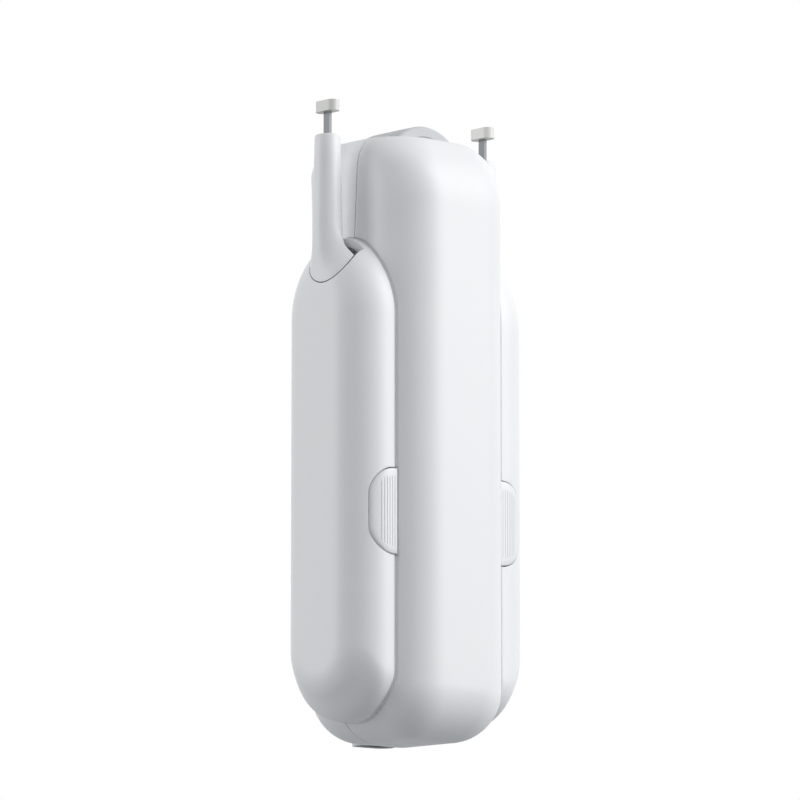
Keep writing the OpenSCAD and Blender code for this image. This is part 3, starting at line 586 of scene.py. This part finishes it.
def foot_cutter(sign, grow, steps=48):
    """The round notch for an arm's foot, open upwards and outwards."""
    r, mid = FOOT_R + grow, FOOT_LO + FOOT_R
    turns = [-math.pi * i / steps for i in range(steps + 1)]
    outline = [(r - FOOT_Y, mid + NOTCH_RISE)]
    outline += [(r * math.cos(a) - FOOT_Y, mid + r * math.sin(a)) for a in turns]
    outline.append((-r - FOOT_Y, mid + NOTCH_RISE))
    reach = (FOOT_IN - grow, POD_X + NOTCH_OUT)
    return solid("notch", [[(sign * x, y, h + FLOOR) for y, h in outline] for x in reach])


print("a button's outline has", len(button_outline()), "points")

# %% Pods
SIDES = (("left", -1), ("right", 1))
RIM_R, RIM_STEPS, POD_EDGE = 0.7, 5, 0.28
WINDOW_IN, WINDOW_OUT = 12.5, 26.0


def body_side(y, h):
    """Half width of the body at depth y and height h."""
    wide, front, rear, r = body_plan(h)
    over = max(0.0, abs(y) - ((front if y < 0 else rear) - r))
    return wide - r + math.sqrt(max(0.0, r * r - over * over))


def build_pod(side, sign):
    """One pod cover, on the left or right."""
    rim = [(POD_HALF_D - WALL, 0.0)]
    rim += [(POD_HALF_D - RIM_R * (1 - math.sin(b)), RIM_R * (1 - math.cos(b))) for b in quarter(RIM_STEPS)]
    rings = pod_sweep(POD_EDGE_R - WALL)[::-1]
    for d, rise in rim:
        rings.append([(body_side(y, h) + SEAM_GAP + rise, y, h) for y, h in pod_ring(d, 0.0)])
    rings += pod_sweep(POD_EDGE_R)
    rings = [[(sign * x, y, h + FLOOR) for x, y, h in ring] for ring in rings]
    points, faces = skin(rings, True, flip=sign < 0)
    pod = make_piece(f"{side}_pod_shell", points, faces, white_abs)
    weld(pod)
    window = [(sign * x, h) for x, h in button_outline(RUN_GAP)]
    cutters = [prism_y("window", window, s * WINDOW_IN, s * WINDOW_OUT) for s in (-1, 1)]
    cutters.append(foot_cutter(sign, RUN_GAP))
    for cutter in cutters:
        combine(pod, cutter, "DIFFERENCE")
    round_edges(pod, POD_EDGE)
    bake(pod, cutters)
    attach(pod, "root")
    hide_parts(f"{side}_pod_cover")


for side, sign in SIDES:
    build_pod(side, sign)

# %% The groove round the pods
GROOVE_R = 0.5


def groove_cutter(sign, steps=10):
    """A thin closed tube along the foot of a pod, on the body's surface."""
    path = [Vector((body_side(y, h), y, h)) for y, h in pod_ring(POD_HALF_D, 0.0)]
    turns = [2 * math.pi * k / steps for k in range(steps)]
    rings = []
    for i, p in enumerate(path):
        along = (path[(i + 1) % len(path)] - path[i - 1]).normalized()
        level = along.cross(Vector((1.0, 0.0, 0.0))).normalized()
        out = level.cross(along)
        ring = [p + GROOVE_R * (math.cos(a) * level + math.sin(a) * out) for a in turns]
        rings.append([(sign * q.x, q.y, q.z + FLOOR) for q in ring])
    points, faces = skin(rings + rings[:1], True)
    tube = make_piece("groove", points, faces, white_abs)
    weld(tube)
    face_out(tube)
    return tube


grooves = [groove_cutter(sign) for _, sign in SIDES]
for shell in (front_shell, rear_shell):
    for cutter in grooves:
        combine(shell, cutter, "DIFFERENCE")
bake(front_shell)
bake(rear_shell, grooves)

# %% [markdown]
# ## The hook arms
# An arm is a slim tapered column on a foot like a boot, with its toe to the front. The foot lies flush in
# the pod's shoulder. The flare between them is a fan of Bezier curves: each starts straight down the column
# and lands on the edge of the foot along the pod's own surface, so the two look like one moulding. Below
# the foot a tongue runs inside the pod, and a bore down the column takes the hook's stem.

# %% The foot's edge
ARM_X, ARM_TOP_R, ARM_FOOT_R, ARM_TOP, CREASE_H = 31.2, 3.8, 4.7, BODY_H, 146.6
SOLE_STEPS, HEEL_STEPS, HEEL_RISE = 20, 9, 0.45
BACK_STEPS, FRONT_STEPS, TOE_STEPS = 12, 16, 24


def arm_radius(h):
    """Radius of the column at height h."""
    low = FOOT_LO + FOOT_R / 2
    return ARM_FOOT_R + (ARM_TOP_R - ARM_FOOT_R) * (h - low) / (ARM_TOP - low)


def pod_top_x(d):
    """How far a pod reaches at distance d from its axis."""
    if d <= POD_FLAT:
        return POD_X
    return POD_ROOT + math.sqrt(max(0.0, POD_EDGE_R ** 2 - (d - POD_FLAT) ** 2))


def on_pod(y, h):
    """A point of the pod's surface at depth y and height h, with its outward direction."""
    dh = max(0.0, h - POD_HIGH_MID) / POD_STRETCH
    d = math.hypot(y, dh)
    slope = min(1.0, max(0.0, (d - POD_FLAT) / POD_EDGE_R))
    out = Vector((math.sqrt(1 - slope * slope), slope * y / d, slope * dh / d / POD_STRETCH)).normalized()
    return Vector((pod_top_x(d), y, h)), out


def sole_point(turn):
    """A point on the round sole of the foot; turn is 0 at its lowest, positive to the rear."""
    return on_pod(FOOT_R * math.sin(turn) - FOOT_Y, FOOT_LO + FOOT_R * (1 - math.cos(turn)))


def foot_edge():
    """The foot's edge once round, from its lowest point by the heel, the inside and the toe: points with
    the pod's direction there, or None on the inside."""
    edge = [sole_point(a) for a in quarter(SOLE_STEPS)]
    heel_y = FOOT_R - FOOT_Y
    edge += [on_pod(heel_y, FOOT_LO + FOOT_R + HEEL_RISE * i) for i in range(1, HEEL_STEPS + 1)]
    toe = [sole_point(-a) for a in quarter(TOE_STEPS)[:0:-1]]
    crease = Vector((ARM_X - arm_radius(CREASE_H), 0.0, CREASE_H))
    heel_top, tip = edge[-1][0], toe[0][0]
    edge += [(heel_top.lerp(crease, i / BACK_STEPS), None) for i in range(1, BACK_STEPS)]
    edge += [(crease.lerp(tip, i / FRONT_STEPS), None) for i in range(FRONT_STEPS)]
    return edge + toe


print("the foot's edge has", len(foot_edge()), "points")

# %% The flare's curves
FLARE_TOP = 152.0
COLUMN_PULL, FACE_PULL, FACE_LIFT, INNER_LIFT = 0.66, 0.55, 0.3, 0.2


def flare_curve(end, out):
    """The four handles of the curve from the column down to one point of the foot's edge."""
    across = Vector((end.x - ARM_X, end.y, 0.0))
    way = across.normalized()
    r = arm_radius(FLARE_TOP)
    top = Vector((ARM_X, 0.0, FLARE_TOP)) + way * r
    drop = FLARE_TOP - end.z
    if out is None:
        low = Vector((ARM_X, 0.0, end.z + INNER_LIFT * drop))
        first = low + way * min(arm_radius(end.z), across.length)
        return top, first, first.lerp(end, 0.5), end
    first = top - Vector((0.0, 0.0, COLUMN_PULL * drop))
    gap = max(0.0, across.length - r)
    lift = Vector((0.0, 0.0, FACE_LIFT * drop * max(0.0, out.dot(way))))
    last = end - way * (FACE_PULL * gap * max(0.0, out.z)) + lift
    return top, first, last, end


def flare_point(handles, t):
    """A point on a cubic Bezier curve."""
    weights = (1 - t) ** 3, 3 * t * (1 - t) ** 2, 3 * t * t * (1 - t), t ** 3
    return sum((w * p for w, p in zip(weights, handles)), Vector((0.0, 0.0, 0.0)))


print("the column is", round(2 * arm_radius(FLARE_TOP), 1), "mm thick where the flare starts")

# %% The arm's skin
FOOT_MID, FOOT_SHARE, FLARE_STEPS = Vector((31.0, -2.4, FOOT_LO + 7.0)), 0.25, 16
COLUMN_HEIGHTS, TIP_R = (155.0, 160.0, 165.0, 170.0), 0.8
TIP_ROUNDING = ((0.25, 0.2), (0.0, TIP_R))


def arm_rings():
    """The rings of an arm, from the middle of its foot to the middle of its top."""
    edge = foot_edge()
    curves = [flare_curve(*e) for e in edge]
    turns = [math.atan2(end.y, end.x - ARM_X) for end, _ in edge]
    rings = [[FOOT_MID for _ in edge], [end.lerp(FOOT_MID, FOOT_SHARE) for end, _ in edge]]
    rings += [[flare_point(c, 1 - i / FLARE_STEPS) for c in curves] for i in range(FLARE_STEPS + 1)]
    column = [(h, arm_radius(h)) for h in COLUMN_HEIGHTS + (ARM_TOP - TIP_R,)]
    column += [(ARM_TOP - dip, arm_radius(ARM_TOP) - inset) for dip, inset in TIP_ROUNDING]
    for h, r in column + [(ARM_TOP, 0.0)]:
        rings.append([Vector((ARM_X + r * math.cos(a), r * math.sin(a), h)) for a in turns])
    return rings


print("an arm has", len(arm_rings()), "rings")

# %% Arms
STEM_R, STEM_STEPS, ARM_EDGE = 1.64, 40, 0.18
POCKET_IN, POCKET_LO, POCKET_HI = ARM_X - 2.3, FOOT_LO - 8.0, FOOT_LO - 2.0
TONGUE_OUT, TONGUE_LO, TONGUE_HI = POD_X - WALL - RUN_GAP, FOOT_LO - 63.0, POD_HIGH_MID - 12.0
TONGUE_HALF_D, LINK_HALF_D = 4.5, 3.4
LINK_IN, LINK_OUT, LINK_LO, LINK_HI = 26.9, 32.3, TONGUE_HI - 5.0, FOOT_LO + 9.0
BORE_LO, BORE_HI = POCKET_HI - 1.0, ARM_TOP + 5.0


def block_of(name, sign, x0, x1, half_d, h0, h1):
    """A plain block between two distances from the middle and two heights."""
    return prism_y(name, rectangle(sign * x0, sign * x1, h0, h1), -half_d, half_d)


def build_arm(side, sign):
    """One hook arm, on the left or right."""
    rings = [[(sign * p.x, p.y, p.z + FLOOR) for p in ring] for ring in arm_rings()]
    points, faces = skin(rings, True, flip=sign < 0)
    arm = make_piece(f"{side}_arm_shell", points, faces, white_abs)
    weld(arm)
    link = block_of("link", sign, LINK_IN, LINK_OUT, LINK_HALF_D, LINK_LO, LINK_HI)
    tongue = block_of("tongue", sign, FOOT_IN, TONGUE_OUT, TONGUE_HALF_D, TONGUE_LO, TONGUE_HI)
    pocket = block_of("pocket", sign, POCKET_IN, POD_X, FOOT_R, POCKET_LO, POCKET_HI)
    bore = prism_z("stem_bore", circle_outline(sign * ARM_X, 0.0, STEM_R, STEM_STEPS), BORE_LO, BORE_HI)
    combine(arm, link, "UNION")
    combine(arm, tongue, "UNION")
    combine(arm, pocket, "DIFFERENCE")
    combine(arm, bore, "DIFFERENCE")
    round_edges(arm, ARM_EDGE)
    bake(arm, [link, tongue, pocket, bore])
    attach(arm, f"{side}_arm")
    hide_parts(f"{side}_hook_arm")


for side, sign in SIDES:
    build_arm(side, sign)

# %% [markdown]
# ## The release buttons
# A button is a D-shaped cap that follows the pod's curve and stands 0.4 mm proud of it. Six upright ribs
# give the thumb a grip. The ribs repeat, so Geometry Nodes sweeps a round profile along one edge per rib,
# and the result becomes plain mesh.

# %% The grip ribs' node tree
def rib_tree():
    """Sweeps a round bar along each edge of the mesh that it is given."""
    tree = bpy.data.node_groups.new("Grip ribs", "GeometryNodeTree")
    tree.interface.new_socket("Geometry", in_out="INPUT", socket_type="NodeSocketGeometry")
    width = tree.interface.new_socket("Rib width", in_out="INPUT", socket_type="NodeSocketFloat")
    finish = tree.interface.new_socket("Finish", in_out="INPUT", socket_type="NodeSocketMaterial")
    tree.interface.new_socket("Geometry", in_out="OUTPUT", socket_type="NodeSocketGeometry")
    start = add_node(tree, "NodeGroupInput")
    half = add_node(tree, "ShaderNodeMath", {1: 0.5}, {0: start.outputs["Rib width"]}, operation="MULTIPLY")
    profile = add_node(tree, "GeometryNodeCurvePrimitiveCircle", {"Resolution": 10},
                       {"Radius": half.outputs[0]})
    path = add_node(tree, "GeometryNodeMeshToCurve", links={"Mesh": start.outputs["Geometry"]})
    bar = add_node(tree, "GeometryNodeCurveToMesh", {"Fill Caps": True},
                   {"Curve": path.outputs["Curve"], "Profile Curve": profile.outputs["Curve"]})
    whole = add_node(tree, "GeometryNodeRealizeInstances", links={"Geometry": bar.outputs["Mesh"]})
    done = add_node(tree, "GeometryNodeSetMaterial",
                    links={"Geometry": whole.outputs["Geometry"], "Material": start.outputs["Finish"]})
    add_node(tree, "NodeGroupOutput", links={"Geometry": done.outputs["Geometry"]})
    return tree, width.identifier, finish.identifier


grip_tree, width_key, finish_key = rib_tree()
print("the ribs' tree has", len(grip_tree.nodes), "nodes")

# %% A button's cap
BUTTON_PROUD, CAP_POINTS, CAP_MID_X = 0.4, 120, 24.2
CAP_ROUNDING = ((1.0, 0.5), (0.985, 0.16))
CAP_SHARES = (0.95, 0.8, 0.6, 0.4, 0.2, 0.0)
cap_outline = even_path(button_outline() + [button_outline()[0]], CAP_POINTS + 1)[:-1]


def button_reach(x):
    """Depth of a button's face at distance x from the middle."""
    over = max(0.0, x - POD_ROOT)
    return POD_FLAT + math.sqrt(POD_EDGE_R ** 2 - over * over) + BUTTON_PROUD


def cap_ring(share, sink=0.0, depth=None):
    """The cap's outline drawn in to a share of its size, at a depth or a little under the face."""
    ring = []
    for x, h in cap_outline:
        px, ph = CAP_MID_X + share * (x - CAP_MID_X), BUTTON_H + share * (h - BUTTON_H)
        ring.append((px, depth if depth else button_reach(px) - sink, ph))
    return ring


def build_cap(side, sx, end, sy):
    """The cap of one release button."""
    rings = [cap_ring(0.0, depth=BUTTON_BACK), cap_ring(1.0, depth=BUTTON_BACK)]
    rings += [cap_ring(share, sink) for share, sink in CAP_ROUNDING]
    rings += [cap_ring(share) for share in CAP_SHARES]
    rings = [[(sx * x, sy * y, h + FLOOR) for x, y, h in r] for r in rings]
    points, faces = skin(rings, True)
    button = make_piece(f"{side}_{end}_button_cap", points, faces, button_abs)
    weld(button)
    face_out(button)
    bake(button)
    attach(button, f"{side}_{end}_release")
    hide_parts(f"{side}_{end}_button")


print("a button's face stands", round(button_reach(BUTTON_IN), 1), "mm from the middle at its straight edge")

# %% A button's ribs
RIB_COUNT, RIB_PITCH, RIB_WIDTH, RIB_RISE = 6, 0.95, 0.55, 0.12
RIB_START, RIB_SHORT = 1.0, 1.5
RIB_END = ((0.0, 0.35), (0.8, 0.05), (1.6, 0.0))


def button_half_len(x):
    """Half of the button's length at distance x from the middle."""
    over = max(0.0, x - (BUTTON_OUT - BUTTON_R))
    return BUTTON_LEN / 2 - BUTTON_R + math.sqrt(max(0.0, BUTTON_R ** 2 - over * over))


def build_ribs(side, sx, end, sy):
    """The grip ribs of one release button, whose ends dip into the cap."""
    mesh = bpy.data.meshes.new(f"{side}_{end}_button_ribs")
    points, edges = [], []
    for i in range(RIB_COUNT):
        x = BUTTON_IN + RIB_START + RIB_PITCH * i
        y, half = button_reach(x) + RIB_RISE - RIB_PITCH / 4, button_half_len(x) - RIB_SHORT
        steps = [(along - half, dip) for along, dip in RIB_END]
        steps += [(-dh, dip) for dh, dip in steps[::-1]]
        first = len(points)
        points += [(sx * x * MM, sy * (y - dip) * MM, (BUTTON_H + dh + FLOOR) * MM) for dh, dip in steps]
        edges += [(first + k, first + k + 1) for k in range(len(steps) - 1)]
    mesh.from_pydata(points, edges, [])
    ribs = bpy.data.objects.new(mesh.name, mesh)
    scene.collection.objects.link(ribs)
    sweep = ribs.modifiers.new("Grip ribs", "NODES")
    sweep.node_group = grip_tree
    sweep[width_key] = RIB_PITCH * RIB_WIDTH * MM
    sweep[finish_key] = button_abs
    bake(ribs)
    face_out(ribs)
    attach(ribs, f"{side}_{end}_release")


print(RIB_COUNT, "ribs over", round(RIB_PITCH * (RIB_COUNT - 1), 2), "mm on each button")

# %% Buttons
ENDS = (("front", -1), ("rear", 1))
for side, sx in SIDES:
    for end, sy in ENDS:
        build_cap(side, sx, end, sy)
        build_ribs(side, sx, end, sy)

# %% [markdown]
# ## The springs
# Behind each button is a coil spring, which shortens when the button goes in. A longer one holds each arm
# down and stretches when the arm goes up. Each coil is shown by a copy of the CAD spring with its loose
# triangles merged, in the spring's own place and shape.


def coil_of(node):
    """A copy of a CAD spring, with its loose triangles merged."""
    source = frame["nodes"][node]
    coil = bpy.data.objects.new(node.replace("spring", "coil"), source.data.copy())
    coil.matrix_world = source.matrix_world
    scene.collection.objects.link(coil)
    weld(coil, FINE_WELD)
    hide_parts(node)
    return coil


for side, _ in SIDES:
    low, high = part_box(f"{side}_arm_spring")
    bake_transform(coil_of(f"{side}_arm_spring"))
    for end, _ in ENDS:
        low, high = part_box(f"{side}_{end}_spring")
        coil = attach(coil_of(f"{side}_{end}_spring"), "root")
        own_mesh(coil)

# %% [markdown]
# ## The tyre
# The drive wheel's tyre is a band of soft silicone with rounded shoulders and shallow grooves for grip. It
# is a lathe shape: one profile carried round the axle in rings.

# %% Tyre
low, high = [[v / MM for v in corner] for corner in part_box("wheel_tyre")]
TYRE_R, TYRE_HALF_W, TYRE_T = (high[2] - low[2]) / 2, (high[1] - low[1]) / 2, 3.1
AXLE_H = (high[2] + low[2]) / 2
SHOULDER_R, SHOULDER_STEPS, TYRE_TURNS = 1.1, 6, 96
TREAD_PITCH, TREAD_HALF, TREAD_FLOOR, TREAD_DEPTH, TREAD_PAIRS = 2.1, 0.32, 0.14, 0.22, 3
shoulder = [(TYRE_R - TYRE_T, -TYRE_HALF_W), (TYRE_R - SHOULDER_R, -TYRE_HALF_W)]
for a in quarter(SHOULDER_STEPS)[1:-1]:
    shoulder.append((TYRE_R - SHOULDER_R + SHOULDER_R * math.sin(a),
                     -TYRE_HALF_W + SHOULDER_R - SHOULDER_R * math.cos(a)))
profile = list(shoulder)
for k in range(-TREAD_PAIRS, TREAD_PAIRS + 1):
    y = k * TREAD_PITCH
    profile += [(TYRE_R, y - TREAD_HALF), (TYRE_R - TREAD_DEPTH, y - TREAD_FLOOR),
                (TYRE_R - TREAD_DEPTH, y + TREAD_FLOOR), (TYRE_R, y + TREAD_HALF)]
profile += [(r, -y) for r, y in shoulder[::-1]]
rings = []
for i in range(TYRE_TURNS):
    a = 2 * math.pi * i / TYRE_TURNS
    rings.append([(r * math.cos(a), y, AXLE_H + r * math.sin(a)) for r, y in profile])
points, faces = skin(rings + rings[:1], True)
tyre = make_piece("drive_tyre", points, faces, silicone)
weld(tyre)
face_out(tyre)
bake(tyre)
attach(tyre, "wheel")
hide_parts("wheel_tyre")

# %% [markdown]
# ## Light, floor and background
# A big soft light stands to the front and right, and a weaker one behind and to the left, so the corner
# that faces the camera stays the darkest, as on a white product in a studio. The background is white to
# the camera and to reflections, while the light that it casts is set apart from that.

# %% World
AMBIENT = 0.5


def seen_directly(tree):
    """1 for what the camera sees, straight or through a reflection or clear plastic, else 0."""
    path = add_node(tree, "ShaderNodeLightPath")
    through = add_node(tree, "ShaderNodeMath", operation="MAXIMUM",
                       links={0: path.outputs["Is Glossy Ray"], 1: path.outputs["Is Transmission Ray"]})
    return add_node(tree, "ShaderNodeMath", operation="MAXIMUM",
                    links={0: path.outputs["Is Camera Ray"], 1: through.outputs[0]}).outputs[0]


world = bpy.data.worlds.new("Studio")
scene.world = world
world.use_nodes = True
tree = world.node_tree
tree.nodes.clear()
seen = seen_directly(tree)
lit = add_node(tree, "ShaderNodeBackground", {"Color": linear("#f4f6f8"), "Strength": AMBIENT})
white = add_node(tree, "ShaderNodeBackground", {"Color": (1, 1, 1, 1), "Strength": 1.0})
mixed = add_node(tree, "ShaderNodeMixShader", links={0: seen, 1: lit.outputs[0], 2: white.outputs[0]})
add_node(tree, "ShaderNodeOutputWorld", links={"Surface": mixed.outputs[0]})
print("the world lights the object at", AMBIENT)

# %% Floor
STAGE_HALF, STAGE_Z, SPECKLE_MM = 2500, -460.0, 25.0
floor_finish, tree, place, out = start_material("Pale studio floor")
speckle = add_node(tree, "ShaderNodeTexNoise", {"Scale": 1 / (SPECKLE_MM * MM)}, {"Vector": place})
shade = add_node(tree, "ShaderNodeMix", {"A": linear("#e9eaec"), "B": linear("#eeeff0")},
                 {"Factor": speckle.outputs["Fac"]}, data_type="RGBA")
bright = add_node(tree, "ShaderNodeBsdfPrincipled", {"Roughness": 0.8},
                  {"Base Color": shade.outputs["Result"]})
dull = add_node(tree, "ShaderNodeBsdfDiffuse", {"Color": linear("#9c9ea0")})
mixed = add_node(tree, "ShaderNodeMixShader",
                 links={0: seen_directly(tree), 1: dull.outputs["BSDF"], 2: bright.outputs["BSDF"]})
tree.links.new(mixed.outputs["Shader"], out.inputs["Surface"])
corners = [(-STAGE_HALF, -STAGE_HALF), (STAGE_HALF, -STAGE_HALF),
           (STAGE_HALF, STAGE_HALF), (-STAGE_HALF, STAGE_HALF)]
floor = make_piece("floor", [(x, y, STAGE_Z) for x, y in corners], [[0, 1, 2, 3]], floor_finish)
print("floor at", STAGE_Z, "mm")

# %% Lamps
MIDDLE = Vector((0, 0, -0.0792))


def way_to(azimuth, elevation):
    """The direction from the object at an azimuth from the front and an elevation, in degrees."""
    a, e = math.radians(azimuth), math.radians(elevation)
    return Vector((math.sin(a) * math.cos(e), -math.cos(a) * math.cos(e), math.sin(e)))


def soft_light(name, azimuth, elevation, distance, width, height, power):
    """A soft area light that points at the middle of the object."""
    lamp = bpy.data.lights.new(name, "AREA")
    lamp.shape = "RECTANGLE"
    lamp.size, lamp.size_y, lamp.energy = width, height, power
    holder = bpy.data.objects.new(name, lamp)
    way = way_to(azimuth, elevation)
    holder.location = MIDDLE + way * distance
    holder.rotation_euler = way.to_track_quat("Z", "Y").to_euler()
    scene.collection.objects.link(holder)
    print(f"{name}: {power} W from azimuth {azimuth}, elevation {elevation}")


soft_light("Key", azimuth=34, elevation=24, distance=1.3, width=0.9, height=1.2, power=12.6)
soft_light("Rim", azimuth=-128, elevation=10, distance=1.3, width=0.8, height=1.2, power=5.5)

# %% [markdown]
# ## Camera
# The object is seen from its front left, from a little below, through a long lens. The lens and the shifts
# are written in pixels of the picture, which is how they were measured.

# %% Camera
AZIMUTH, ELEVATION, DISTANCE = -42.5, -8.6, 1.66
PICTURE, FOCAL, SHIFT_X, SHIFT_Y, SENSOR = 800, 5630, -6.1, -5.4, 36
camera = bpy.data.objects.new("Camera", bpy.data.cameras.new("Camera"))
back = way_to(AZIMUTH, ELEVATION)
camera.location = MIDDLE + back * DISTANCE
camera.rotation_euler = back.to_track_quat("Z", "Y").to_euler()
camera.data.sensor_width = SENSOR
camera.data.lens = SENSOR * FOCAL / PICTURE
camera.data.shift_x = SHIFT_X / PICTURE
camera.data.shift_y = SHIFT_Y / PICTURE
scene.collection.objects.link(camera)
scene.camera = camera
scene.view_settings.view_transform = "Standard"
print(f"camera {DISTANCE} m away with a lens of {camera.data.lens:.0f} mm")
